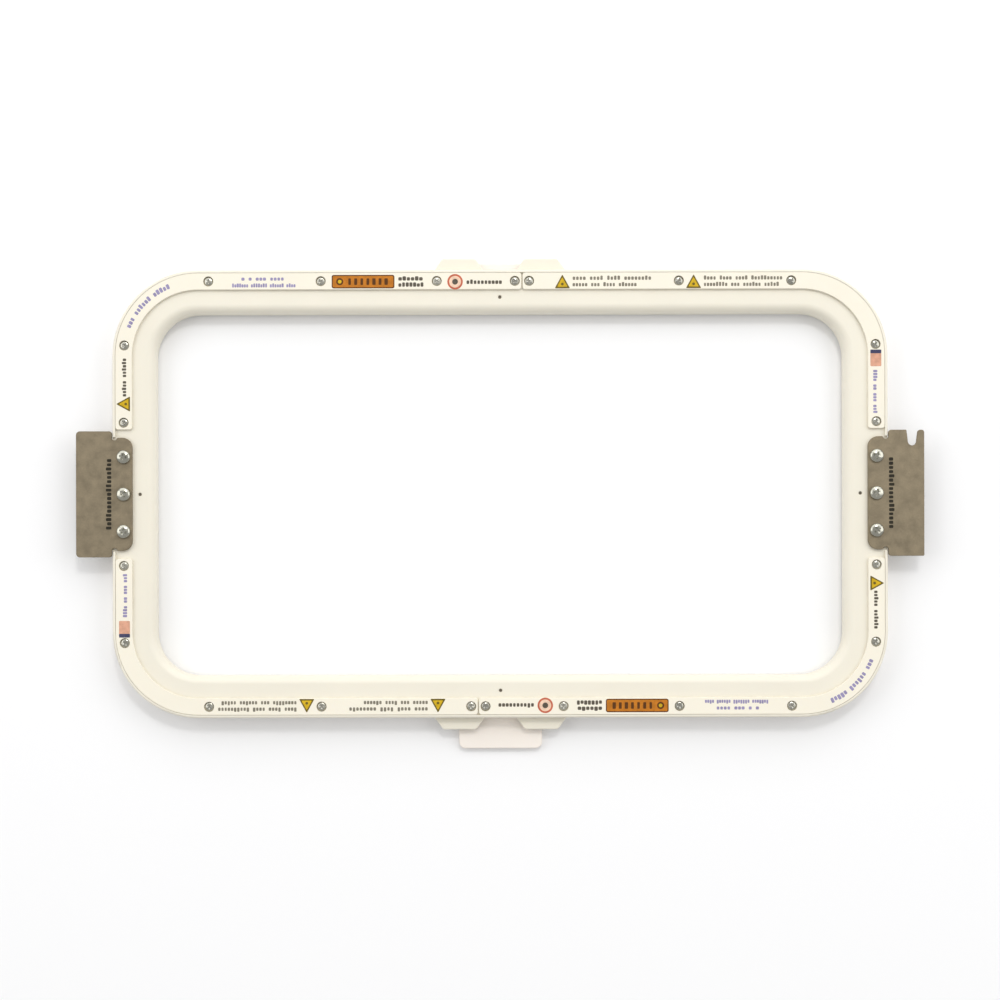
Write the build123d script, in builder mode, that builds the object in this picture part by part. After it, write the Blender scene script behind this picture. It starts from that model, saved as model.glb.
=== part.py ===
from build123d import *
import math
import os

# A magnetic embroidery hoop. The top ring, which a machine holds by two metal brackets, snaps
# onto a bottom ring that goes under the cloth. Block magnets lie in pockets in both rings,
# under screwed cover strips.
#
# Millimetres. The origin is the centre of the sewing field, on the surface that the hoop
# rests on. +X is the operator's right, +Y points at the machine, +Z is up.

# ---------------------------------------------------------------- sewing field and section
field_width = 482.6            # opening, left to right
field_depth = 254.0            # opening, front to rear
field_corner_radius = 30.5     # opening, in plan
ring_width = 29.5              # from the opening to the outer edge

bottom_ring_thickness = 7.0
top_ring_thickness = 8.6       # mating face to deck
rim_width = 2.0                # raised lip round the outer edge of the deck
rim_rounding = 1.5
seam_rounding = 0.4            # edges of both mating faces
inner_rounding = 5.6           # the deck rolls over into the opening

skirt_wall = 5.0               # the top ring's wall that drops inside the bottom ring
skirt_clearance = 1.5          # room for the cloth between skirt and bottom ring
skirt_foot_height = 1.5        # skirt foot above the resting face
skirt_rounding = 1.2

# ---------------------------------------------------------------- grips
lobe_thickness = 3.6           # four grip lobes on the top ring, level with its mating face
lobe_reach = 8.7
lobe_base_start = 11.0         # along X from the middle, where the lobe leaves the wall
lobe_base_end = 46.5
lobe_tip_start = 17.0
lobe_tip_end = 40.3
lobe_rounding = 3.0

tab_width = 58.4               # pull tab (front) and stub tab (rear) on the bottom ring
tab_thickness = 4.6
tab_reach = 22.6
stub_reach = 6.3
tab_corner_radius = 4.5
stub_corner_radius = 3.0
grip_edge_rounding = 0.9
grip_root = 6.0                # how far a grip's outline runs back into its ring

# ---------------------------------------------------------------- cover strips
strip_width = 12.0
strip_thickness = 2.0
strip_gap = 0.15               # between a strip and the rim or recess beside it
strip_joint_gap = 0.8          # between two strips that meet on a long side
strip_joint_x = 15.5           # the rear joint; the front one is turned half round
strip_end_gap = 5.5            # from a strip's end to the bracket's tongue
strip_end_radius = 1.8
strip_edge_break = 0.3
base_cover_thickness = 1.7
base_cover_recess = 0.3        # the base covers lie this far above the resting face

# ---------------------------------------------------------------- cover screws
cover_head_radius = 3.2
cover_head_height = 1.5
cover_shank_radius = 1.5
cover_shank_length = 7.5       # under the head, top ring
base_shank_length = 4.2        # under the head, bottom ring
cover_recess_depth = 0.8       # cross recess
counterbore_radius = 3.5
boss_radius = 4.2              # dished boss under each counterbore
boss_floor = 1.1               # thickness left under the head
boss_clearance = 0.15
pilot_clearance = 0.05
pilot_spare = 0.8              # a pilot hole is this much deeper than its screw
end_screw_inset = 5.0          # from a strip's end to its last screw
corner_screw_inset = 7.3       # long side: short of the corner's tangent point
corner_screw_turn = 8.2        # short side: degrees round into the corner
mid_screw_x = 125.0            # one on each strip
centre_screw_x = 44.0          # an extra one on the strips that cross the middle

# ---------------------------------------------------------------- magnets
magnet_length = 16.0
magnet_width = 9.0
magnet_spacing = 4.0           # least gap between two magnets
magnet_screw_gap = 7.0         # from a screw's centre to the nearest magnet
magnet_skin = 1.2              # plastic between a magnet and the mating face
top_magnet_thickness = 6.0
bottom_magnet_thickness = 3.4
pocket_clearance = 0.2

# ---------------------------------------------------------------- machine brackets
bracket_thickness = 2.5
bracket_length = 88.0          # along Y
bracket_reach = 25.2           # beyond the ring's outer edge
bracket_wall_gap = 0.3         # between the ring's outer wall and the plate
tongue_setback = 4.5           # the tongue is this much shorter than the plate at each end
tongue_end_radius = 7.0
tongue_gap = 0.5               # between the tongue and the ends of the rim
bracket_corner_radius = 2.7
notched_corner_radius = 0.8    # far front corner of the right bracket
bracket_inner_radius = 2.0     # the plate's corners next to the ring
relief_radius = 1.9            # round relief where the tongue leaves the plate
relief_rounding = 1.2
bracket_edge_break = 0.25
bracket_screw_pitch = 26.0
bracket_hole_radius = 2.7
bracket_head_radius = 4.8
bracket_head_height = 2.8
bracket_shank_radius = 2.45
bracket_shank_length = 8.0
bracket_recess_depth = 1.4
insert_radius = 3.6
insert_bore_radius = 2.5
insert_length = 6.0
insert_fit = 0.02

notch_offset = 16.8            # notch centreline beyond the ring's outer edge
notch_radius = 3.05
notch_depth = 7.9              # from the plate's rear edge to the centre of the round end
notch_mouth = 8.0
finger_rounding = 1.9
mouth_rounding = 0.7           # the other side of the notch's mouth

# ---------------------------------------------------------------- centre marks
mark_radius = 1.4
mark_depth = 0.6
mark_inset = 19.0              # from the outer edge

# ---------------------------------------------------------------- worked out
half_width = field_width / 2 + ring_width
half_depth = field_depth / 2 + ring_width
outer_corner_radius = field_corner_radius + ring_width

mating_z = bottom_ring_thickness
deck_z = mating_z + top_ring_thickness
strip_inset = rim_width + strip_width              # inner edge of the cover strips
screw_inset = rim_width + strip_width / 2          # line of all screws and magnets
bottom_ring_inset = ring_width - skirt_wall - skirt_clearance
base_cover_z = base_cover_recess + base_cover_thickness   # inner face of the base covers

tongue_length = bracket_length - 2 * tongue_setback
tongue_depth = strip_inset
strip_end_y = tongue_length / 2 + strip_end_gap

# A corner is (name, side of the rear layout, half turn): the two front strips are the two
# rear ones turned half round about the centre of the sewing field.
corners = [
    ("rear_left", -1, 0),
    ("rear_right", 1, 0),
    ("front_right", -1, 180),
    ("front_left", 1, 180),
]


# ---------------------------------------------------------------- outlines and patterns
def ring_band(outer_inset, inner_inset):
    """A closed band that follows the hoop's outer edge, between two insets from it."""
    for inset, mode in [(outer_inset, Mode.ADD), (inner_inset, Mode.SUBTRACT)]:
        RectangleRounded(
            2 * (half_width - inset),
            2 * (half_depth - inset),
            outer_corner_radius - inset,
            mode=mode,
        )


def strip_outline(side, gap, joint_gap):
    """One rear cover strip, on the left (side -1) or the right (side 1) of the joint."""
    ring_band(rim_width + gap, strip_inset - gap)
    joint_x = strip_joint_x + side * joint_gap / 2
    end_y = strip_end_y + gap
    reach = half_width + half_depth
    with Locations((joint_x + side * reach / 2, end_y + reach / 2)):
        Rectangle(reach, reach, mode=Mode.INTERSECT)


def turned_plane(z, turn):
    return Plane.XY.offset(z).rotated((0, 0, turn))


def turned(points, turn):
    """Plan points of the rear layout, turned half round for the front strips."""
    return [(-x, -y) if turn else (x, y) for x, y in points]


def screw_runs(side):
    """The screws of one rear strip: those on its short side, then those on its long side."""
    line_x = half_width - screw_inset
    line_y = half_depth - screw_inset
    line_radius = outer_corner_radius - screw_inset
    centre_x = half_width - outer_corner_radius
    centre_y = half_depth - outer_corner_radius
    turn = math.radians(corner_screw_turn)
    short_side = [
        (side * line_x, strip_end_y + end_screw_inset),
        (side * (centre_x + line_radius * math.cos(turn)), centre_y + line_radius * math.sin(turn)),
    ]
    long_side = [(side * (centre_x - corner_screw_inset), line_y), (side * mid_screw_x, line_y)]
    if side < 0:
        long_side.append((-centre_screw_x, line_y))
    long_side.append((strip_joint_x + side * end_screw_inset, line_y))
    return short_side, long_side


def strip_screws(side, turn):
    short_side, long_side = screw_runs(side)
    return turned(short_side + long_side, turn)


def spread_between(start, end):
    """Centres of as many magnets as fit between two screws, each in an equal share of the room."""
    low, high = sorted((start, end))
    room = high - low - 2 * magnet_screw_gap
    count = int((room + magnet_spacing) // (magnet_length + magnet_spacing))
    return [low + magnet_screw_gap + room * (index + 0.5) / count for index in range(count)]


def magnet_places(side, turn):
    """Magnets on the short side stand along Y, those on the long side along X."""
    short_side, long_side = screw_runs(side)
    line_x, line_y = short_side[0][0], long_side[0][1]
    along_y = [(line_x, y) for y in spread_between(short_side[0][1], short_side[1][1])]
    along_x = []
    for (start, _), (end, _) in zip(long_side, long_side[1:]):
        along_x += [(x, line_y) for x in spread_between(start, end)]
    return turned(along_y, turn), turned(along_x, turn)


def magnet_blocks(side, turn, z, height, clearance=0.0, mode=Mode.ADD):
    """Blocks that stand on z: the magnets themselves, or with a clearance their pockets."""
    along_y, along_x = magnet_places(side, turn)
    length = magnet_length + 2 * clearance
    width = magnet_width + 2 * clearance
    base = (Align.CENTER, Align.CENTER, Align.MIN)
    with Locations(*[(x, y, z) for x, y in along_y]):
        Box(width, length, height, align=base, mode=mode)
    with Locations(*[(x, y, z) for x, y in along_x]):
        Box(length, width, height, align=base, mode=mode)


def cylinders(points, z, radius, height, mode):
    """Upright cylinders that stand on z."""
    with Locations(*[(x, y, z) for x, y in points]):
        Cylinder(radius, height, align=(Align.CENTER, Align.CENTER, Align.MIN), mode=mode)


def lobe_outline():
    """The two rear grip lobes, with a root that runs back into the ring."""
    with Locations((0, half_depth - grip_root / 2)):
        Rectangle(2 * (lobe_base_end + grip_root), grip_root)
    tip_y = half_depth + lobe_reach
    for side in (-1, 1):
        Polygon(
            (side * lobe_base_start, half_depth),
            (side * lobe_base_end, half_depth),
            (side * lobe_tip_end, tip_y),
            (side * lobe_tip_start, tip_y),
            align=None,
        )
    tips, roots = vertices().group_by(Axis.Y)[-1], vertices().group_by(Axis.Y)[-2]
    wall_end = lobe_base_end + grip_root / 2
    fillet(tips + roots.filter_by(lambda vertex: abs(vertex.X) < wall_end), lobe_rounding)


def tab_outline(direction, reach, radius):
    """A square-ended tab on the bottom ring, at the rear (direction 1) or front (-1)."""
    length = reach + grip_root
    with Locations((0, direction * (half_depth - grip_root + length / 2))):
        Rectangle(tab_width, length)
    fillet(vertices().group_by(Axis.Y)[-1 if direction > 0 else 0], radius)


def pan_head_screw(head_radius, head_height, shank_radius, shank_length, recess_depth):
    """A domed cross-head screw that hangs from its seat at z = 0."""
    rim = head_height * 0.35
    tip = shank_radius * 0.35
    with BuildPart() as screw:
        with BuildSketch(Plane.XZ):
            with BuildLine():
                TangentArc((0, head_height), (head_radius, rim), tangent=(1, 0))
                Polyline(
                    (head_radius, rim),
                    (head_radius, 0),
                    (shank_radius, 0),
                    (shank_radius, tip - shank_length),
                    (shank_radius - tip, -shank_length),
                    (0, -shank_length),
                    (0, head_height),
                )
            make_face()
        revolve(axis=Axis.Z)
        with BuildSketch(Plane.XY.offset(head_height)):
            Rectangle(head_radius * 1.25, head_radius * 0.3)
            Rectangle(head_radius * 0.3, head_radius * 1.25)
        extrude(amount=-recess_depth, mode=Mode.SUBTRACT)
    return screw.part


def bracket_screws(side):
    x = side * (half_width - screw_inset)
    return [(x, row * bracket_screw_pitch) for row in (-1, 0, 1)]


def corners_at(x):
    """The outline's corners at a distance x from the middle."""
    return vertices().filter_by(lambda vertex: math.isclose(abs(vertex.X), x, abs_tol=0.01))


def bracket_outline(side):
    """A plate beyond the ring's outer wall, and the tongue that lies on the deck."""
    wall_x = half_width + bracket_wall_gap
    plate_width = half_width + bracket_reach - wall_x
    tongue_end_x = half_width - tongue_depth
    relief_x = wall_x - relief_radius
    with Locations((side * (wall_x + plate_width / 2), 0)):
        Rectangle(plate_width, bracket_length)
    with Locations((side * (wall_x + tongue_end_x) / 2, 0)):
        Rectangle(wall_x - tongue_end_x, tongue_length)
    with Locations((side * relief_x, -tongue_length / 2), (side * relief_x, tongue_length / 2)):
        Circle(relief_radius, mode=Mode.SUBTRACT)
    fillet(corners_at(tongue_end_x), tongue_end_radius)
    fillet(corners_at(wall_x - 2 * relief_radius), relief_rounding)
    plate_corners = corners_at(wall_x).filter_by(
        lambda vertex: math.isclose(abs(vertex.Y), bracket_length / 2, abs_tol=0.01)
    )
    fillet(plate_corners, bracket_inner_radius)


def notch_outline(x, y):
    """The locating notch: a round end at (x, y) that widens to the plate's rear edge."""
    mouth_y = bracket_length / 2
    with Locations((x, y)):
        Circle(notch_radius, mode=Mode.SUBTRACT)
    Polygon(
        (x - notch_radius, y),
        (x + notch_radius, y),
        (x + notch_mouth / 2, mouth_y),
        (x - notch_mouth / 2, mouth_y),
        align=None,
        mode=Mode.SUBTRACT,
    )


def finish_bracket(side):
    """Break the edges of both faces, then drill the screw holes."""
    chamfer(faces().sort_by(Axis.Z)[-1].edges(), bracket_edge_break)
    chamfer(faces().sort_by(Axis.Z)[0].edges(), bracket_edge_break)
    cylinders(bracket_screws(side), deck_z, bracket_hole_radius, bracket_thickness, Mode.SUBTRACT)


def save(piece, name):
    piece.part.label = name
    export_step(piece.part, f"parts/{name}.step")


os.makedirs("parts", exist_ok=True)

# ---------------------------------------------------------------- top ring
with BuildPart() as rear_lobes:
    with BuildSketch(Plane.XY.offset(mating_z)):
        lobe_outline()
    extrude(amount=lobe_thickness)
    fillet(faces().sort_by(Axis.Z)[-1].edges(), grip_edge_rounding)

with BuildPart() as top_ring:
    with BuildSketch(Plane.XY.offset(mating_z)):
        ring_band(0, ring_width)
    extrude(amount=top_ring_thickness)
    deck = faces().sort_by(Axis.Z)[-1]
    fillet(deck.inner_wires().edges(), inner_rounding)
    mating_face = faces().sort_by(Axis.Z)[0]
    fillet(mating_face.outer_wire().edges(), seam_rounding)

    # The raised rim, then the skirt that drops into the opening.
    with BuildSketch(Plane.XY.offset(deck_z)):
        ring_band(0, rim_width)
    extrude(amount=strip_thickness)
    rim_top = faces().sort_by(Axis.Z)[-1]
    fillet(rim_top.outer_wire().edges(), rim_rounding)
    with BuildSketch(Plane.XY.offset(skirt_foot_height)):
        ring_band(ring_width - skirt_wall, ring_width)
    extrude(amount=mating_z - skirt_foot_height)
    skirt_foot = faces().sort_by(Axis.Z)[0]
    fillet(skirt_foot.edges(), skirt_rounding)

    add(rear_lobes.part)
    mirror(rear_lobes.part, about=Plane.XZ)

    # The rim stops where the bracket tongues lie on the deck.
    with Locations((-half_width, 0, deck_z), (half_width, 0, deck_z)):
        Box(
            4 * rim_width,
            tongue_length + 2 * tongue_gap,
            2 * strip_thickness,
            align=(Align.CENTER, Align.CENTER, Align.MIN),
            mode=Mode.SUBTRACT,
        )

    # Magnet pockets, boss recesses and pilot holes under each strip.
    for name, side, turn in corners:
        points = strip_screws(side, turn)
        magnet_blocks(
            side, turn, mating_z + magnet_skin, top_ring_thickness, pocket_clearance, Mode.SUBTRACT
        )
        recess_depth = boss_floor + boss_clearance
        recess_radius = boss_radius + boss_clearance
        cylinders(points, deck_z - recess_depth, recess_radius, recess_depth, Mode.SUBTRACT)
        pilot_depth = cover_shank_length + pilot_spare
        pilot_radius = cover_shank_radius + pilot_clearance
        cylinders(points, deck_z - pilot_depth, pilot_radius, pilot_depth, Mode.SUBTRACT)

    # Holes for the threaded inserts under the brackets, and the four centre marks.
    for side in (-1, 1):
        cylinders(
            bracket_screws(side), deck_z - insert_length, insert_radius, insert_length, Mode.SUBTRACT
        )
    marks = [
        (half_width - mark_inset, 0),
        (mark_inset - half_width, 0),
        (0, half_depth - mark_inset),
        (0, mark_inset - half_depth),
    ]
    cylinders(marks, deck_z - mark_depth, mark_radius, mark_depth, Mode.SUBTRACT)
save(top_ring, "top_ring")

# ---------------------------------------------------------------- bottom ring
with BuildPart() as bottom_ring:
    with BuildSketch():
        ring_band(0, bottom_ring_inset)
    extrude(amount=bottom_ring_thickness)
    fillet(faces().sort_by(Axis.Z)[-1].edges(), seam_rounding)
    fillet(faces().sort_by(Axis.Z)[0].edges(), seam_rounding)
    for direction, reach, radius in [(1, stub_reach, stub_corner_radius), (-1, tab_reach, tab_corner_radius)]:
        with BuildSketch():
            tab_outline(direction, reach, radius)
        extrude(amount=tab_thickness)
    tab_tops = faces().filter_by(Axis.Z).filter_by(
        lambda face: math.isclose(face.center().Z, tab_thickness, abs_tol=0.01)
    )
    for tab_top in tab_tops:
        outer_edges = tab_top.edges().filter_by(
            lambda edge: abs(edge.center().Y) > half_depth + 0.1 * stub_reach
        )
        fillet(outer_edges, grip_edge_rounding)

    # Recesses in the underside for the covers, with pockets, bosses and pilot holes in them.
    for name, side, turn in corners:
        with BuildSketch(turned_plane(0, turn)):
            strip_outline(side, 0, 0)
        extrude(amount=base_cover_z, mode=Mode.SUBTRACT)
        points = strip_screws(side, turn)
        pocket_depth = bottom_ring_thickness - magnet_skin - base_cover_z
        magnet_blocks(side, turn, base_cover_z, pocket_depth, pocket_clearance, Mode.SUBTRACT)
        recess_depth = boss_floor + boss_clearance
        cylinders(points, base_cover_z, boss_radius + boss_clearance, recess_depth, Mode.SUBTRACT)
        pilot_radius = cover_shank_radius + pilot_clearance
        pilot_depth = base_shank_length + pilot_spare
        cylinders(points, base_cover_z, pilot_radius, pilot_depth, Mode.SUBTRACT)
save(bottom_ring, "bottom_ring")

# ---------------------------------------------------------------- strips, covers and screws
cover_screw = pan_head_screw(
    cover_head_radius, cover_head_height, cover_shank_radius, cover_shank_length, cover_recess_depth
)
base_screw = pan_head_screw(
    cover_head_radius, cover_head_height, cover_shank_radius, base_shank_length, cover_recess_depth
)

for name, side, turn in corners:
    points = strip_screws(side, turn)

    # The strip lies on the deck; its bosses are dished into it and hold the screw heads.
    with BuildPart() as cover_strip:
        with BuildSketch(turned_plane(deck_z, turn)):
            strip_outline(side, strip_gap, strip_joint_gap)
        extrude(amount=strip_thickness)
        end_edges = edges().filter_by(Axis.Z)
        fillet(end_edges, strip_end_radius)
        chamfer(faces().sort_by(Axis.Z)[-1].edges(), strip_edge_break)
        cylinders(points, deck_z - boss_floor, boss_radius, boss_floor, Mode.ADD)
        cylinders(points, deck_z, counterbore_radius, strip_thickness, Mode.SUBTRACT)
        cylinders(
            points,
            deck_z - boss_floor,
            cover_shank_radius + boss_clearance,
            boss_floor,
            Mode.SUBTRACT,
        )
    save(cover_strip, f"cover_strip_{name}")

    with BuildPart() as cover_screws:
        with Locations(*[(x, y, deck_z) for x, y in points]):
            add(cover_screw)
    save(cover_screws, f"cover_screws_{name}")

    with BuildPart() as top_magnets:
        magnet_blocks(side, turn, mating_z + magnet_skin, top_magnet_thickness)
    save(top_magnets, f"top_magnets_{name}")

    with BuildPart() as base_cover:
        with BuildSketch(turned_plane(base_cover_recess, turn)):
            strip_outline(side, strip_gap, strip_joint_gap)
        extrude(amount=base_cover_thickness)
        end_edges = edges().filter_by(Axis.Z)
        fillet(end_edges, strip_end_radius)
        cylinders(points, base_cover_z, boss_radius, boss_floor, Mode.ADD)
        cylinders(points, base_cover_recess, counterbore_radius, base_cover_thickness, Mode.SUBTRACT)
        cylinders(points, base_cover_z, cover_shank_radius + boss_clearance, boss_floor, Mode.SUBTRACT)
    save(base_cover, f"base_cover_{name}")

    with BuildPart() as base_screws:
        with Locations(*[Location((x, y, base_cover_z), (180, 0, 0)) for x, y in points]):
            add(base_screw)
    save(base_screws, f"base_screws_{name}")

    with BuildPart() as bottom_magnets:
        magnet_blocks(side, turn, base_cover_z, bottom_magnet_thickness)
    save(bottom_magnets, f"bottom_magnets_{name}")

# ---------------------------------------------------------------- machine brackets
with BuildPart() as left_bracket:
    with BuildSketch(Plane.XY.offset(deck_z)):
        bracket_outline(-1)
        fillet(corners_at(half_width + bracket_reach), bracket_corner_radius)
    extrude(amount=bracket_thickness)
    finish_bracket(-1)
save(left_bracket, "left_bracket")

# The right bracket has a locating notch in its rear edge, with a finger outside it.
notch_x = half_width + notch_offset
notch_y = bracket_length / 2 - notch_depth
with BuildPart() as right_bracket:
    with BuildSketch(Plane.XY.offset(deck_z)):
        bracket_outline(1)
        notch_outline(notch_x, notch_y)
        fillet(vertices().group_by(Axis.Y)[-1].sort_by(Axis.X)[-2:], finger_rounding)
        fillet(corners_at(notch_x - notch_mouth / 2), mouth_rounding)
        fillet(corners_at(half_width + bracket_reach).sort_by(Axis.Y)[:1], notched_corner_radius)
    extrude(amount=bracket_thickness)
    finish_bracket(1)
save(right_bracket, "right_bracket")

bracket_screw = pan_head_screw(
    bracket_head_radius,
    bracket_head_height,
    bracket_shank_radius,
    bracket_shank_length,
    bracket_recess_depth,
)
for name, side in [("left", -1), ("right", 1)]:
    points = bracket_screws(side)
    with BuildPart() as screws:
        with Locations(*[(x, y, deck_z + bracket_thickness) for x, y in points]):
            add(bracket_screw)
    save(screws, f"{name}_bracket_screws")

    with BuildPart() as inserts:
        cylinders(points, deck_z - insert_length, insert_radius - insert_fit, insert_length, Mode.ADD)
        cylinders(points, deck_z - insert_length, insert_bore_radius, insert_length, Mode.SUBTRACT)
    save(inserts, f"{name}_bracket_inserts")
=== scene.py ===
import bmesh
import bpy
import math
import random
from mathutils import Matrix, Vector


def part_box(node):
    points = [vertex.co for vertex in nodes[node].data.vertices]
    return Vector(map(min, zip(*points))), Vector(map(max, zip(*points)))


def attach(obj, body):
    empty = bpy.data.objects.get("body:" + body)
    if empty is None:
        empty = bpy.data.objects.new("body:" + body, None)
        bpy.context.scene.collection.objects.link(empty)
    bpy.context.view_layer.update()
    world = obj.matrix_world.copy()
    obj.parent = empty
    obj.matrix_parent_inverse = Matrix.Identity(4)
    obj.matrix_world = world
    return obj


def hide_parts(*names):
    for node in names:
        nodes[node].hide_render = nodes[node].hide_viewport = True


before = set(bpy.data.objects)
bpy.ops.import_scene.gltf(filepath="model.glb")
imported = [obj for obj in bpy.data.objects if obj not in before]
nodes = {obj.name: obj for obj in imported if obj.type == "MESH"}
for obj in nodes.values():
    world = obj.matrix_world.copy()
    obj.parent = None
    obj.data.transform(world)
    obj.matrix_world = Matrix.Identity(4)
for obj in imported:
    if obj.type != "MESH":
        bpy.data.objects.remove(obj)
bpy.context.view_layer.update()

mm = 0.001
scene = bpy.context.scene

# The hoop's own heights and half sizes, read from the frame.
strip_low, strip_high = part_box("cover_strip_rear_left")
ring_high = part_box("top_ring")[1]
base_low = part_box("bottom_ring")[0]
bracket_low, bracket_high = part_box("left_bracket")
strip_top = strip_high.z
deck_top = bracket_low.z
bracket_top = bracket_high.z
half_width = ring_high.x
strip_gap = 0.15 * mm
rim_width = half_width + strip_low.x - strip_gap
half_depth = strip_high.y + strip_gap + rim_width


# ---------------------------------------------------------------- camera and studio
view_width = 698.0 * mm        # what the view takes in, left to right, at strip height
camera_height = 1250 * mm      # above the strips
view_centre_y = -4.5 * mm
camera_foot = Vector((-0.25 * mm, -65 * mm))   # the point straight below the camera
camera_roll = math.radians(-0.115)
ambient = 0.525
table_gap = 0.3 * mm           # the table lies this far below the hoop
table_half_size = 4


def make_camera():
    """A camera that looks straight down, shifted so that the hoop stands in the middle."""
    data = bpy.data.cameras.new("camera")
    data.sensor_width = 36
    data.lens = data.sensor_width * camera_height / view_width
    data.shift_y = (view_centre_y - camera_foot.y) / view_width
    data.clip_start, data.clip_end = 0.01, 20
    camera = bpy.data.objects.new("camera", data)
    camera.location = (camera_foot.x, camera_foot.y, strip_top + camera_height)
    camera.rotation_euler.z = camera_roll
    scene.collection.objects.link(camera)
    scene.camera = camera


def make_area_light(name, place, size, watts, colour=(1.0, 1.0, 1.0)):
    """A rectangular light that looks at the hoop's middle."""
    data = bpy.data.lights.new(name, "AREA")
    data.shape = "RECTANGLE"
    data.size, data.size_y = size
    data.energy = watts
    data.color = colour
    light = bpy.data.objects.new(name, data)
    light.location = place
    light.rotation_euler = (-Vector(place)).to_track_quat("-Z", "Y").to_euler()
    scene.collection.objects.link(light)


def make_studio():
    """White surroundings, a key light from behind, soft light from three sides, a white table."""
    scene.view_settings.view_transform = "Standard"
    world = bpy.data.worlds.new("studio")
    scene.world = world
    world.use_nodes = True
    backdrop = world.node_tree.nodes["Background"]
    backdrop.inputs["Color"].default_value = (1.0, 1.0, 1.0, 1)
    backdrop.inputs["Strength"].default_value = ambient
    make_area_light("key", (0.37, 1.62, 2.80), (0.55, 0.45), 17.5, (1.0, 0.995, 0.98))
    make_area_light("rear_softbox", (0.0, 2.95, 2.30), (6.8, 2.8), 74)
    for side in (-1, 1):
        make_area_light("side_softbox", (side * 3.0, 0.6, 2.3), (2.4, 2.7), 34)

    floor = bpy.data.meshes.new("floor")
    bm = bmesh.new()
    bmesh.ops.create_grid(bm, x_segments=1, y_segments=1, size=table_half_size)
    bmesh.ops.translate(bm, vec=(0, 0, base_low.z - table_gap), verts=bm.verts)
    bm.to_mesh(floor)
    bm.free()
    table = bpy.data.objects.new("floor", floor)
    scene.collection.objects.link(table)
    paper = bpy.data.materials.new("white_paper")
    paper.use_nodes = True
    shader = paper.node_tree.nodes["Principled BSDF"]
    shader.inputs["Base Color"].default_value = (0.92, 0.92, 0.925, 1)
    shader.inputs["Roughness"].default_value = 0.9
    shader.inputs["Specular IOR Level"].default_value = 0.1
    floor.materials.append(paper)


make_camera()
make_studio()


# ---------------------------------------------------------------- shared shader groups
def new_group(name, inputs, outputs):
    """An empty shader group with its named sockets, and its two end nodes."""
    group = bpy.data.node_groups.new(name, "ShaderNodeTree")
    for label, kind, value in inputs:
        socket = group.interface.new_socket(name=label, in_out="INPUT", socket_type=kind)
        socket.default_value = value
    for label, kind in outputs:
        group.interface.new_socket(name=label, in_out="OUTPUT", socket_type=kind)
    return group, group.nodes.new("NodeGroupInput"), group.nodes.new("NodeGroupOutput")


def add_node(tree, kind, links=(), **settings):
    """A node with its settings made and its inputs linked or set: links are (input, source)."""
    node = tree.nodes.new(kind)
    for setting, value in settings.items():
        setattr(node, setting, value)
    for socket, source in links:
        if isinstance(source, bpy.types.NodeSocket):
            tree.links.new(source, node.inputs[socket])
        else:
            node.inputs[socket].default_value = source
    return node


def moulded_texture():
    """The fine spark texture of a moulding, and the slow unevenness of its gloss and colour."""
    group, given, out = new_group(
        "moulded_texture",
        [("Grain Size", "NodeSocketFloat", 2600), ("Cloud Size", "NodeSocketFloat", 22)],
        [("Grain", "NodeSocketFloat"), ("Cloud", "NodeSocketFloat"), ("Speck", "NodeSocketFloat")],
    )
    place = add_node(group, "ShaderNodeTexCoord").outputs["Object"]
    grain = add_node(group, "ShaderNodeTexNoise", [
        ("Vector", place), ("Scale", given.outputs["Grain Size"]), ("Detail", 2.0), ("Roughness", 0.6)])
    cloud = add_node(group, "ShaderNodeTexNoise", [
        ("Vector", place), ("Scale", given.outputs["Cloud Size"]), ("Detail", 3.0), ("Roughness", 0.55)])
    dots = add_node(group, "ShaderNodeTexVoronoi", [("Vector", place), ("Scale", 260.0)], feature="F1")
    speck = add_node(group, "ShaderNodeMapRange", [
        ("Value", dots.outputs["Distance"]), ("From Min", 0.05), ("From Max", 0.10),
        ("To Min", 1.0), ("To Max", 0.0)])
    group.links.new(grain.outputs["Fac"], out.inputs["Grain"])
    group.links.new(cloud.outputs["Fac"], out.inputs["Cloud"])
    group.links.new(speck.outputs["Result"], out.inputs["Speck"])
    return group


def corner_shade_and_grime():
    """A mask of the inner corners, from ambient occlusion, broken up by noise: painted shade in the corners,
    with some handling grime.
    """
    group, given, out = new_group(
        "corner_shade_and_grime",
        [("Reach", "NodeSocketFloat", 2.5 * mm), ("Amount", "NodeSocketFloat", 0.6)],
        [("Shade And Grime", "NodeSocketFloat")],
    )
    # Ambient occlusion finds the corners: this mask paints their shade into the colour.
    shut_in = add_node(group, "ShaderNodeAmbientOcclusion", [("Distance", given.outputs["Reach"])], samples=6)
    corner = add_node(group, "ShaderNodeMath", [(0, 1.0), (1, shut_in.outputs["AO"])], operation="SUBTRACT")
    place = add_node(group, "ShaderNodeTexCoord").outputs["Object"]
    patch = add_node(group, "ShaderNodeTexNoise", [("Vector", place), ("Scale", 140.0), ("Detail", 4.0)])
    broken = add_node(group, "ShaderNodeMapRange", [
        ("Value", patch.outputs["Fac"]), ("From Min", 0.25), ("From Max", 0.7)])
    mask = add_node(group, "ShaderNodeMath", [
        (0, corner.outputs[0]), (1, broken.outputs["Result"])], operation="MULTIPLY")
    shade_and_grime = add_node(group, "ShaderNodeMath", [
        (0, mask.outputs[0]), (1, given.outputs["Amount"])], operation="MULTIPLY", use_clamp=True)
    group.links.new(shade_and_grime.outputs[0], out.inputs["Shade And Grime"])
    return group


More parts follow.
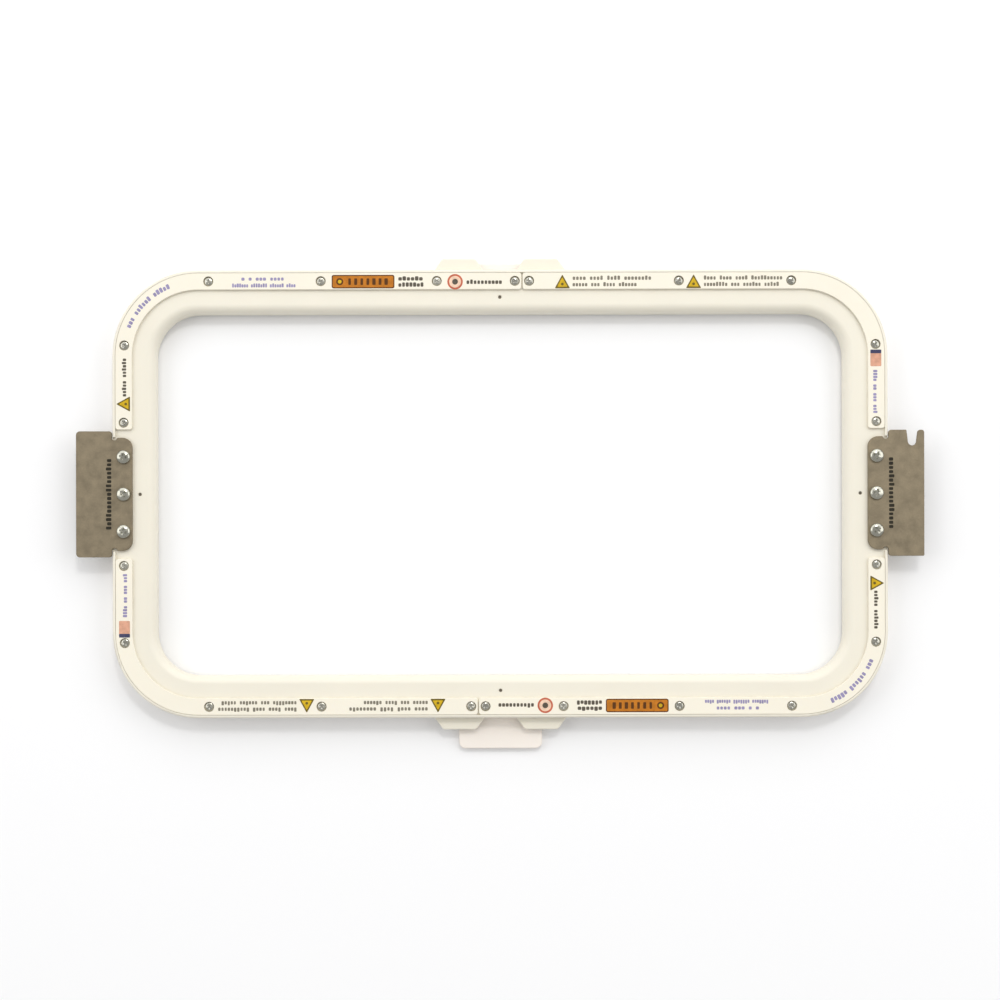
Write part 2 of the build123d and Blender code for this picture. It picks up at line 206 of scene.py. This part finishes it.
def edge_tone():
    """A mask of the sharp outer edges, where a finish takes another tone: rubbed bright on the plated metals,
    darker on the blasted steel.
    """
    group, given, out = new_group(
        "edge_tone",
        [("Width", "NodeSocketFloat", 0.4 * mm), ("Amount", "NodeSocketFloat", 0.5)],
        [("Edge Tone", "NodeSocketFloat")],
    )
    rounded = add_node(group, "ShaderNodeBevel", [("Radius", given.outputs["Width"])], samples=4)
    flat = add_node(group, "ShaderNodeNewGeometry")
    facing = add_node(group, "ShaderNodeVectorMath", [
        (0, rounded.outputs["Normal"]), (1, flat.outputs["Normal"])], operation="DOT_PRODUCT")
    edge = add_node(group, "ShaderNodeMapRange", [
        ("Value", facing.outputs["Value"]), ("From Min", 0.97), ("From Max", 0.80),
        ("To Min", 0.0), ("To Max", 1.0)])
    place = add_node(group, "ShaderNodeTexCoord").outputs["Object"]
    patch = add_node(group, "ShaderNodeTexNoise", [("Vector", place), ("Scale", 320.0), ("Detail", 3.0)])
    broken = add_node(group, "ShaderNodeMath", [
        (0, edge.outputs["Result"]), (1, patch.outputs["Fac"])], operation="MULTIPLY")
    edge_tone_mix = add_node(group, "ShaderNodeMath", [
        (0, broken.outputs[0]), (1, given.outputs["Amount"])], operation="MULTIPLY", use_clamp=True)
    group.links.new(edge_tone_mix.outputs[0], out.inputs["Edge Tone"])
    return group


def fine_scratches():
    """Short hairline scratches, lying mostly along one direction."""
    group, given, out = new_group(
        "fine_scratches",
        [("Stretch", "NodeSocketVector", (60, 900, 60))],
        [("Scratch", "NodeSocketFloat")],
    )
    place = add_node(group, "ShaderNodeTexCoord").outputs["Object"]
    pulled = add_node(group, "ShaderNodeVectorMath", [
        (0, place), (1, given.outputs["Stretch"])], operation="MULTIPLY")
    lines = add_node(group, "ShaderNodeTexNoise", [
        ("Vector", pulled.outputs["Vector"]), ("Scale", 1.0), ("Detail", 5.0), ("Roughness", 0.65)])
    group.links.new(lines.outputs["Fac"], out.inputs["Scratch"])
    return group


texture_group = moulded_texture()
corner_shade_group = corner_shade_and_grime()
edge_group = edge_tone()
scratch_group = fine_scratches()


# ---------------------------------------------------------------- materials
def new_material(name, roughness, metallic=0.0):
    material = bpy.data.materials.new(name)
    material.use_nodes = True
    shader = material.node_tree.nodes["Principled BSDF"]
    shader.inputs["Roughness"].default_value = roughness
    shader.inputs["Metallic"].default_value = metallic
    return material, material.node_tree, shader


def place_group(tree, group, **values):
    node = add_node(tree, "ShaderNodeGroup", node_tree=group)
    for label, value in values.items():
        node.inputs[label.replace("_", " ")].default_value = value
    return node


def mix_colours(tree, factor, first, second):
    mix = add_node(tree, "ShaderNodeMix", data_type="RGBA")
    for socket, source in [(0, factor), (6, first), (7, second)]:
        if isinstance(source, bpy.types.NodeSocket):
            tree.links.new(source, mix.inputs[socket])
        else:
            mix.inputs[socket].default_value = source
    return mix.outputs[2]


def spread(tree, value, low, high, start=0.0, end=1.0):
    """value mapped from start..end to low..high."""
    return add_node(tree, "ShaderNodeMapRange", [
        ("Value", value), ("From Min", start), ("From Max", end), ("To Min", low), ("To Max", high),
    ]).outputs["Result"]


def bump(tree, height, distance, strength=1.0):
    return add_node(tree, "ShaderNodeBump", [
        ("Height", height), ("Distance", distance), ("Strength", strength)]).outputs["Normal"]


def shade(colour, factor):
    """A colour made darker or lighter, with full alpha."""
    return tuple(part * factor for part in colour) + (1,)


def moulded_plastic(name, colour, roughness, grain, shade_and_grime=0.5):
    """Satin moulded plastic: fine texture, slow unevenness of tone, painted shade and handling grime in the
    inner corners.
    """
    # The darker, browner tint of the inner corners: painted shade, with some handling grime.
    shade_and_grime_tint = (0.56, 0.51, 0.44)
    material, tree, shader = new_material(name, roughness)
    texture = place_group(tree, texture_group)
    toned = mix_colours(
        tree, spread(tree, texture.outputs["Cloud"], 0, 1, 0.3, 0.7),
        shade(colour, 0.985), shade(colour, 1.01))
    specked = mix_colours(
        tree, spread(tree, texture.outputs["Speck"], 0, 0.05), toned, shade(colour, 0.6))
    shaded_corners = place_group(tree, corner_shade_group, Amount=shade_and_grime)
    shaded_grimy_colour = tuple(part * tint for part, tint in zip(colour, shade_and_grime_tint)) + (1,)
    tree.links.new(mix_colours(tree, shaded_corners.outputs["Shade And Grime"], specked, shaded_grimy_colour), shader.inputs["Base Color"])
    gloss = spread(tree, texture.outputs["Cloud"], roughness - 0.05, roughness + 0.06, 0.3, 0.7)
    tree.links.new(gloss, shader.inputs["Roughness"])
    tree.links.new(bump(tree, texture.outputs["Grain"], grain), shader.inputs["Normal"])
    shader.inputs["Specular IOR Level"].default_value = 0.42
    shader.inputs["Subsurface Weight"].default_value = 0.04
    shader.inputs["Subsurface Radius"].default_value = (1.0, 0.8, 0.55)
    shader.inputs["Subsurface Scale"].default_value = 1.5 * mm
    return material


def worn_metal(name, colour, roughness, grain_size, grain, edge_colour, edge=0.6,
               stretch=(700, 700, 60), hairline=0.2, mottle=0.10, patch_size=38):
    """Metal with a fine grain, slow mottling, hairlines, and edges of another tone."""
    material, tree, shader = new_material(name, roughness, 1.0)
    texture = place_group(tree, texture_group, Grain_Size=grain_size, Cloud_Size=patch_size)
    lines = place_group(tree, scratch_group, Stretch=stretch)
    edges = place_group(tree, edge_group, Amount=edge)
    toned = mix_colours(
        tree, spread(tree, texture.outputs["Cloud"], 0, 1, 0.3, 0.7),
        shade(colour, 1 - mottle), shade(colour, 1 + mottle))
    grained = mix_colours(
        tree, spread(tree, texture.outputs["Grain"], 0, 0.35, 0.35, 0.65), toned, shade(colour, 0.62))
    lined = mix_colours(
        tree, spread(tree, lines.outputs["Scratch"], 0, hairline, 0.52, 0.75), grained, shade(colour, 1.45))
    tree.links.new(
        mix_colours(tree, edges.outputs["Edge Tone"], lined, shade(edge_colour, 1)),
        shader.inputs["Base Color"])
    gloss = spread(tree, texture.outputs["Cloud"], roughness - 0.06, roughness + 0.08, 0.3, 0.7)
    tree.links.new(gloss, shader.inputs["Roughness"])
    tree.links.new(bump(tree, texture.outputs["Grain"], grain), shader.inputs["Normal"])
    return material


def printed_ink(name, colour):
    """Screen-printed ink: a little uneven, a little glossier than the strip under it."""
    material, tree, shader = new_material(name, 0.38)
    texture = place_group(tree, texture_group, Grain_Size=5200, Cloud_Size=300)
    tree.links.new(
        mix_colours(tree, spread(tree, texture.outputs["Cloud"], 0, 1, 0.35, 0.65),
                    shade(colour, 0.88), shade(colour, 1.12)),
        shader.inputs["Base Color"])
    tree.links.new(
        spread(tree, texture.outputs["Grain"], 0.30, 0.46), shader.inputs["Roughness"])
    tree.links.new(bump(tree, texture.outputs["Grain"], 0.004 * mm), shader.inputs["Normal"])
    shader.inputs["Specular IOR Level"].default_value = 0.2
    return material


ring_plastic = moulded_plastic("ring_plastic", (0.825, 0.782, 0.668), 0.42, 0.012 * mm)
# The bottom ring's plastic is a little pinker than the top ring's. It is also painted lighter, as painted
# light that makes up for the shade its tab lies in.
lightened_bottom_plastic = moulded_plastic("lightened_bottom_plastic", (0.900, 0.835, 0.765), 0.45, 0.012 * mm)
strip_plastic = moulded_plastic("strip_plastic", (0.885, 0.835, 0.708), 0.32, 0.006 * mm, 0.35)
cover_plastic = moulded_plastic("cover_plastic", (0.800, 0.745, 0.650), 0.48, 0.010 * mm)
# The blasted steel is darker towards its edges.
blasted_steel = worn_metal(
    "blasted_steel", (0.298, 0.248, 0.170), 0.52, 2400, 0.030 * mm, (0.170, 0.142, 0.098), 0.8,
    stretch=(90, 420, 90), hairline=0.05, mottle=0.17, patch_size=150)
dark_zinc = worn_metal(
    "dark_zinc", (0.50, 0.49, 0.43), 0.24, 4200, 0.004 * mm, (0.75, 0.74, 0.70))
bright_zinc = worn_metal(
    "bright_zinc", (0.50, 0.49, 0.42), 0.20, 4200, 0.004 * mm, (0.80, 0.80, 0.76))
turned_brass = worn_metal(
    "turned_brass", (0.62, 0.42, 0.16), 0.30, 4200, 0.004 * mm, (0.85, 0.66, 0.34),
    stretch=(60, 60, 1400))
nickel_plate = worn_metal(
    "nickel_plate", (0.62, 0.60, 0.56), 0.22, 4200, 0.003 * mm, (0.80, 0.78, 0.74),
    stretch=(500, 80, 80))
inks = {
    "dark": printed_ink("dark_ink", (0.110, 0.094, 0.072)),
    "grey": printed_ink("grey_ink", (0.215, 0.195, 0.150)),
    "violet": printed_ink("violet_ink", (0.300, 0.270, 0.440)),
    "orange": printed_ink("orange_ink", (0.500, 0.172, 0.016)),
    "brown": printed_ink("brown_ink", (0.105, 0.038, 0.008)),
    "yellow": printed_ink("yellow_ink", (0.600, 0.390, 0.015)),
    "olive": printed_ink("olive_ink", (0.150, 0.110, 0.018)),
    "red": printed_ink("red_ink", (0.520, 0.130, 0.072)),
    "pale": printed_ink("pale_ink", (0.820, 0.580, 0.430)),
    "salmon": printed_ink("salmon_ink", (0.660, 0.350, 0.240)),
    "navy": printed_ink("navy_ink", (0.060, 0.060, 0.120)),
    # The dimple shade is painted shade: a dark disc on the floor of each centre mark.
    "dimple_shade": printed_ink("painted_dimple_shade", (0.130, 0.110, 0.085)),
    "etched": printed_ink("etched_black", (0.028, 0.024, 0.016)),
}

finishes = {
    "top_ring": ring_plastic,
    "bottom_ring": lightened_bottom_plastic,
    "cover_strip_": strip_plastic,
    "base_cover_": cover_plastic,
    "top_magnets_": nickel_plate,
    "bottom_magnets_": nickel_plate,
    "left_bracket_inserts": turned_brass,
    "right_bracket_inserts": turned_brass,
    "left_bracket": blasted_steel,
    "right_bracket": blasted_steel,
}


def finish_cad_nodes():
    """Each carried-over node takes the first finish whose name its own name starts with."""
    for name, node in nodes.items():
        for start, material in finishes.items():
            if name.startswith(start):
                for holder in node.material_slots:
                    holder.material = material
                break


finish_cad_nodes()


# ---------------------------------------------------------------- making pieces
def finish_piece(name, bm, materials, body, smooth=0.6):
    """Turns a bmesh into a piece that rides on a body and takes its finish from a slot."""
    bmesh.ops.recalc_face_normals(bm, faces=bm.faces)
    mesh = bpy.data.meshes.new(name)
    for edge in bm.edges:
        edge.smooth = len(edge.link_faces) == 2 and edge.calc_face_angle() < smooth
    for face in bm.faces:
        face.smooth = True
    bm.to_mesh(mesh)
    bm.free()
    for material in materials:
        mesh.materials.append(material)
    piece = bpy.data.objects.new(name, mesh)
    scene.collection.objects.link(piece)
    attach(piece, body)
    return piece


def island_boxes(node):
    """The lowest and highest corners of each separate solid in a CAD node."""
    bm = bmesh.new()
    bm.from_mesh(nodes[node].data)
    bmesh.ops.remove_doubles(bm, verts=bm.verts, dist=1e-6)
    left = set(bm.verts)
    boxes = []
    while left:
        found = [left.pop()]
        for vert in found:
            for edge in vert.link_edges:
                other = edge.other_vert(vert)
                if other in left:
                    left.remove(other)
                    found.append(other)
        low = Vector([min(vert.co[axis] for vert in found) for axis in range(3)])
        high = Vector([max(vert.co[axis] for vert in found) for axis in range(3)])
        boxes.append((low, high))
    bm.free()
    return sorted(boxes, key=lambda box: (round(box[0].x, 4), round(box[0].y, 4)))


# ---------------------------------------------------------------- screws
def cross_cutter(reach, width, depth, top):
    """A tapered cross, as a driver's tip: two crossed wedges that narrow towards the bottom."""
    foot_reach, foot_width = 0.35, 0.6
    stand_out = depth * 0.2        # above the head, so that the cut is clean
    bm = bmesh.new()
    for turn in (0, math.pi / 2):
        made = bmesh.ops.create_cube(bm, size=1)["verts"]
        for vert in made:
            deep = vert.co.z < 0
            vert.co.x *= 2 * reach * (foot_reach if deep else 1)
            vert.co.y *= width * (foot_width if deep else 1)
            vert.co.z = top - depth if deep else top + stand_out
        bmesh.ops.rotate(bm, cent=(0, 0, 0), matrix=Matrix.Rotation(turn, 3, "Z"), verts=made)
    mesh = bpy.data.meshes.new("cross_cutter")
    bm.to_mesh(mesh)
    bm.free()
    return mesh


def cut_away(mesh, cutter):
    """mesh with the cutter's volume taken out of it."""
    body = bpy.data.objects.new("body_to_cut", mesh)
    tool = bpy.data.objects.new("cutting_tool", cutter)
    for item in (body, tool):
        scene.collection.objects.link(item)
    knife = body.modifiers.new("cut", "BOOLEAN")
    knife.operation, knife.object, knife.solver, knife.use_self = "DIFFERENCE", tool, "EXACT", True
    view = bpy.context.evaluated_depsgraph_get()
    cut = bpy.data.meshes.new_from_object(body.evaluated_get(view))
    for item in (body, tool):
        bpy.data.objects.remove(item)
    return cut


def screw_mesh(head_radius, head_height, shank_radius, shank_length, cross_depth):
    """A domed cross-head screw hanging from its seat at z = 0, with a ringed thread."""
    pitch = 0.6 * mm
    thread_depth = 0.16 * mm
    edge_break = 0.12 * mm
    rim = head_height * 0.38       # the straight part of the head, under the dome
    steps = 8                      # of the dome's outline
    sides = 28
    outline = [Vector((0, 0, head_height))]
    for step in range(1, steps + 1):
        lean = math.pi / 2 * step / steps
        outline.append(Vector((head_radius * math.sin(lean), 0,
                               rim + (head_height - rim) * math.cos(lean))))
    outline.append(Vector((head_radius, 0, edge_break)))
    outline.append(Vector((head_radius - edge_break, 0, 0)))
    outline.append(Vector((shank_radius, 0, 0)))
    tip = 2 * shank_radius / 3
    turns = int((shank_length - tip) / pitch)
    for turn in range(turns):
        crest = -(turn + 0.5) * pitch
        outline.append(Vector((shank_radius - thread_depth, 0, crest + 0.25 * pitch)))
        outline.append(Vector((shank_radius, 0, crest - 0.05 * pitch)))
    outline.append(Vector((shank_radius - thread_depth, 0, -shank_length + tip)))
    outline.append(Vector((shank_radius * 0.45, 0, -shank_length)))
    outline.append(Vector((0, 0, -shank_length)))
    bm = bmesh.new()
    verts = [bm.verts.new(point) for point in outline]
    edges = [bm.edges.new(pair) for pair in zip(verts, verts[1:])]
    bmesh.ops.spin(bm, geom=verts + edges, cent=(0, 0, 0), axis=(0, 0, 1), dvec=(0, 0, 0),
                   angle=2 * math.pi, steps=sides, use_merge=True)
    bmesh.ops.remove_doubles(bm, verts=bm.verts, dist=1e-6)
    bmesh.ops.recalc_face_normals(bm, faces=bm.faces)
    mesh = bpy.data.meshes.new("screw")
    bm.to_mesh(mesh)
    bm.free()
    cross_reach, cross_width = head_radius * 0.74, head_radius * 0.34
    return cut_away(mesh, cross_cutter(cross_reach, cross_width, cross_depth, head_height))


def set_screws(node, mesh, seat_height, material, facing_down, body, twist):
    """One piece for the node's screws: a copy of the mesh on the axis of each CAD screw."""
    bm = bmesh.new()
    for low, high in island_boxes(node):
        old = set(bm.verts)
        bm.from_mesh(mesh)
        new = [vert for vert in bm.verts if vert not in old]
        middle = (low + high) / 2
        flip = Matrix.Rotation(math.pi, 4, "X") if facing_down else Matrix.Identity(4)
        turn = Matrix.Rotation(twist.uniform(0, math.pi / 2), 4, "Z")
        place = Matrix.Translation((middle.x, middle.y, seat_height))
        bmesh.ops.transform(bm, matrix=place @ flip @ turn, verts=new)
    piece = finish_piece(node + "_detailed", bm, [material], body, 0.55)
    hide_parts(node)


def make_screws():
    """Detailed screws in place of the plain ones. A seat is where a head meets its shank."""
    small_shank, small_cross = 1.5 * mm, 0.85 * mm
    bracket_shank, bracket_cross = 2.45 * mm, 1.5 * mm
    base_seat = base_low.z + 2.0 * mm
    twist = random.Random(11)
    low, high = island_boxes("cover_screws_rear_left")[0]
    cover_screw = screw_mesh((high.x - low.x) / 2, high.z - deck_top, small_shank,
                             deck_top - low.z, small_cross)
    low, high = island_boxes("base_screws_rear_left")[0]
    base_screw = screw_mesh((high.x - low.x) / 2, base_seat - low.z, small_shank,
                            high.z - base_seat, small_cross)
    for corner in ("rear_left", "rear_right", "front_right", "front_left"):
        set_screws("cover_screws_" + corner, cover_screw, deck_top, dark_zinc,
                   False, "top_frame", twist)
        set_screws("base_screws_" + corner, base_screw, base_seat, dark_zinc,
                   True, "bottom_frame", twist)
    low, high = island_boxes("left_bracket_screws")[0]
    bracket_screw = screw_mesh((high.x - low.x) / 2, high.z - bracket_top, bracket_shank,
                               bracket_top - low.z, bracket_cross)
    for side in ("left", "right"):
        set_screws(side + "_bracket_screws", bracket_screw, bracket_top, bright_zinc,
                   False, "top_frame", twist)


make_screws()


# ---------------------------------------------------------------- print on the strips and plates
# Only plain generic marks are printed: rows of upright ticks, blocks, discs and triangles.
# A mark is laid flat, then given its thickness, one layer standing a little over the last.
marks = {}
ink_thickness = 0.05 * mm
layer_step = 0.03 * mm
mark_sink = 0.02 * mm          # how far a mark's foot goes into what it is printed on


def lay_flat(ink, verts, place, turn, layer, level):
    """Gives a flat mark of one face its thickness and sets it in its place on a level."""
    bm = marks[ink]
    face = verts[0].link_faces[0]
    thickness = mark_sink + ink_thickness + layer * layer_step
    raised = bmesh.ops.extrude_face_region(bm, geom=[face])["geom"]
    raised = [item for item in raised if isinstance(item, bmesh.types.BMVert)]
    bmesh.ops.translate(bm, vec=(0, 0, thickness), verts=raised)
    spin = Matrix.Rotation(turn, 4, "Z")
    shift = Matrix.Translation((place[0], place[1], level - mark_sink))
    bmesh.ops.transform(bm, matrix=shift @ spin, verts=raised + verts)


def lay_shape(ink, sides, size, corner, place, turn=0.0, layer=0, level=strip_top,
              from_square=False):
    """A regular flat shape with rounded corners, fitted to a size, printed in one ink."""
    if ink not in marks:
        marks[ink] = bmesh.new()
    bm = marks[ink]
    if from_square:
        verts = bmesh.ops.create_grid(bm, x_segments=1, y_segments=1, size=0.5)["verts"]
    else:
        verts = bmesh.ops.create_circle(bm, cap_ends=True, segments=sides, radius=0.5)["verts"]
    bmesh.ops.scale(bm, vec=(size[0], size[1], 1), verts=verts)
    if corner:
        verts = bmesh.ops.bevel(bm, geom=verts, offset=corner, affect="VERTICES", segments=3,
                                profile=0.5, material=-1)["verts"]
    lay_flat(ink, verts, place, turn, layer, level)


def lay_block(ink, size, corner, place, turn=0.0, layer=0, level=strip_top):
    lay_shape(ink, 4, size, corner, place, turn, layer, level, from_square=True)


def lay_disc(ink, diameter, place, layer=0, level=strip_top):
    lay_shape(ink, 40, (diameter, diameter), 0, place, 0.0, layer, level)


def straight_line(start, end):
    """A line's point and heading at a share of its length."""
    start, end = Vector(start), Vector(end)
    heading = math.atan2(end.y - start.y, end.x - start.x)
    return lambda share: (start.lerp(end, share), heading), (end - start).length


def arc_line(centre, radius, first, last):
    """The same for an arc between two angles, in degrees, run clockwise."""
    first, last = math.radians(first), math.radians(last)

    def at(share):
        angle = first + (last - first) * share
        point = Vector(centre) + radius * Vector((math.cos(angle), math.sin(angle)))
        return point, angle - math.pi / 2

    return at, radius * abs(last - first)


def tick_row(line, words, height, ink, chance, bold=1.0, level=strip_top):
    """A line of upright ticks, grouped as the words of a label are, standing on one base line."""
    at, length = line
    places = sum(words) + len(words) - 1
    pitch = length / places
    slot_number = 0
    for word in words:
        for _ in range(word):
            tall = height * chance.choice((0.78, 0.78, 1.0))
            wide = pitch * chance.uniform(0.52, 0.66) * bold
            point, heading = at((slot_number + 0.5) / places)
            across = Vector((-math.sin(heading), math.cos(heading)))
            centre = point + across * (tall - height) / 2
            lay_block(ink, (wide, tall), min(wide, tall) * 0.3, centre, heading, 0, level)
            slot_number += 1
        slot_number += 1


def label_triangle(centre, turn=0.0):
    """A plain two-tone triangle, standing on its side, with a spot in it."""
    for ink, width, tall, lift, layer in (("olive", 10.7, 9.7, 0, 0), ("yellow", 7.4, 6.7, -0.4, 1)):
        size = (width * 2 / math.sqrt(3) * mm, tall * 4 / 3 * mm)
        up = Vector((-math.sin(turn), math.cos(turn)))
        lay_shape(ink, 3, size, 0.7 * mm, Vector(centre) + up * (lift - tall / 6) * mm, turn, layer)
    lay_disc("olive", 1.9 * mm, Vector(centre) + up * -1.9 * mm, 2)


def label_block(start, end, y, height, chance):
    """The wide orange block: a brown border, a spot and a row of heavy ticks."""
    centre = Vector(((start + end) / 2, y))
    lay_block("brown", (end - start, height), 1.4 * mm, centre, 0, 0)
    lay_block("orange", (end - start - 1.5 * mm, height - 1.5 * mm), 0.9 * mm, centre, 0, 1)
    lay_shape("brown", 40, (5.0 * mm, 5.0 * mm), 0, (start + 5.6 * mm, y), 0, 2)
    lay_shape("yellow", 40, (2.6 * mm, 2.6 * mm), 0, (start + 5.6 * mm, y), 0, 3)
    first, pitch = start + 12.5 * mm, 4.25 * mm
    for number in range(7):
        wide = chance.uniform(1.7, 2.4) * mm
        lay_block("brown", (wide, 4.6 * mm), 0.5 * mm, (first + number * pitch, y), 0, 2)


def print_half(turn):
    """All the marks of the rear half's two strips, or of the front half's, half a turn round."""
    chance = random.Random(7)
    placed = {ink: set(bm.verts) for ink, bm in marks.items()}

    def straight(x0, y0, x1, y1):
        return straight_line((x0 * mm, y0 * mm), (x1 * mm, y1 * mm))

    # Rear left strip.
    tick_row(straight(-180.5, 150.3, -150.5, 150.3), (1, 1, 3, 4), 2.7 * mm, "violet", chance, 1.35)
    tick_row(straight(-187.0, 145.6, -142.5, 145.6), (7, 7, 6, 4), 2.7 * mm, "violet", chance, 1.35)
    label_block(-117.3 * mm, -73.5 * mm, 148.1 * mm, 9.4 * mm, chance)
    tick_row(straight(-71.0, 150.3, -53.6, 150.3), (6,), 3.0 * mm, "dark", chance, 1.35)
    tick_row(straight(-71.0, 146.0, -53.0, 146.0), (7,), 3.0 * mm, "dark", chance, 1.35)
    lay_disc("red", 10.8 * mm, (-31.2 * mm, 147.9 * mm))
    lay_disc("pale", 8.2 * mm, (-31.2 * mm, 147.9 * mm), 1)
    lay_shape("dark", 8, (4.4 * mm, 4.4 * mm), 0.9 * mm, (-31.2 * mm, 147.9 * mm), 0.0, 2)
    tick_row(straight(-23.5, 147.9, 1.7, 147.9), (10,), 3.1 * mm, "dark", chance, 1.3)
    corner = arc_line((-210.8 * mm, 96.5 * mm), 52.6 * mm, 158, 112)
    tick_row(corner, (3, 6, 5), 3.6 * mm, "violet", chance, 1.25)
    tick_row(straight(-262.4, 68.0, -262.4, 95.0), (5, 6), 3.0 * mm, "dark", chance, 1.3)
    label_triangle((-263.1 * mm, 63.0 * mm), math.pi / 2)

    # Rear right strip.
    for centre, words, ends in (
        (43.7, ((4, 4, 4, 8), (5, 3, 4, 6)), (105.9, 95.7)),
        (135.3, ((4, 4, 4, 10), (8, 3, 6, 5)), (197.4, 195.0)),
    ):
        label_triangle((centre * mm, 148.0 * mm))
        for row, end, y in zip(words, ends, (150.5, 146.0)):
            tick_row(straight(centre + 6.9, y, end, y), row, 2.9 * mm, "grey", chance, 1.2)
    lay_block("salmon", (7.6 * mm, 11.6 * mm), 0.6 * mm, (262.4 * mm, 94.2 * mm))
    lay_block("navy", (7.6 * mm, 2.6 * mm), 0.4 * mm, (262.4 * mm, 98.7 * mm), 0, 1)
    tick_row(straight(262.0, 86.0, 262.0, 55.5), (4, 2, 3, 3), 2.9 * mm, "violet", chance, 1.35)

    spin = Matrix.Rotation(turn, 3, "Z")
    for ink, bm in marks.items():
        new = [vert for vert in bm.verts if vert not in placed.get(ink, ())]
        bmesh.ops.rotate(bm, cent=(0, 0, 0), matrix=spin, verts=new)


def print_brackets():
    """A row of dark etched ticks down each bracket, beside its screws."""
    row_x, row_end = 273.2 * mm, 25.0 * mm
    chance = random.Random(5)
    for side in (-1, 1):
        line = straight_line((side * row_x, side * row_end), (side * row_x, -side * row_end))
        tick_row(line, (17,), 3.8 * mm, "etched", chance, 1.25, bracket_top)


def shade_centre_marks():
    """Painted shade on the floors of the four centre marks: a dark disc in each dimple, in the middle of each
    side's band.
    """
    inset = 19 * mm
    dimple_depth = 0.6 * mm
    for x, y in ((0, half_depth - inset), (0, inset - half_depth),
                 (half_width - inset, 0), (inset - half_width, 0)):
        lay_shape("dimple_shade", 24, (2.2 * mm, 2.2 * mm), 0, (x, y), 0, 0, deck_top - dimple_depth)


def make_marks():
    """Prints everything and paints the shade into the centre marks, then makes one piece of all the marks in
    each ink.
    """
    print_half(0)
    print_half(math.pi)
    print_brackets()
    shade_centre_marks()
    for ink, bm in marks.items():
        finish_piece("print_" + ink, bm, [inks[ink]], "top_frame")


make_marks()
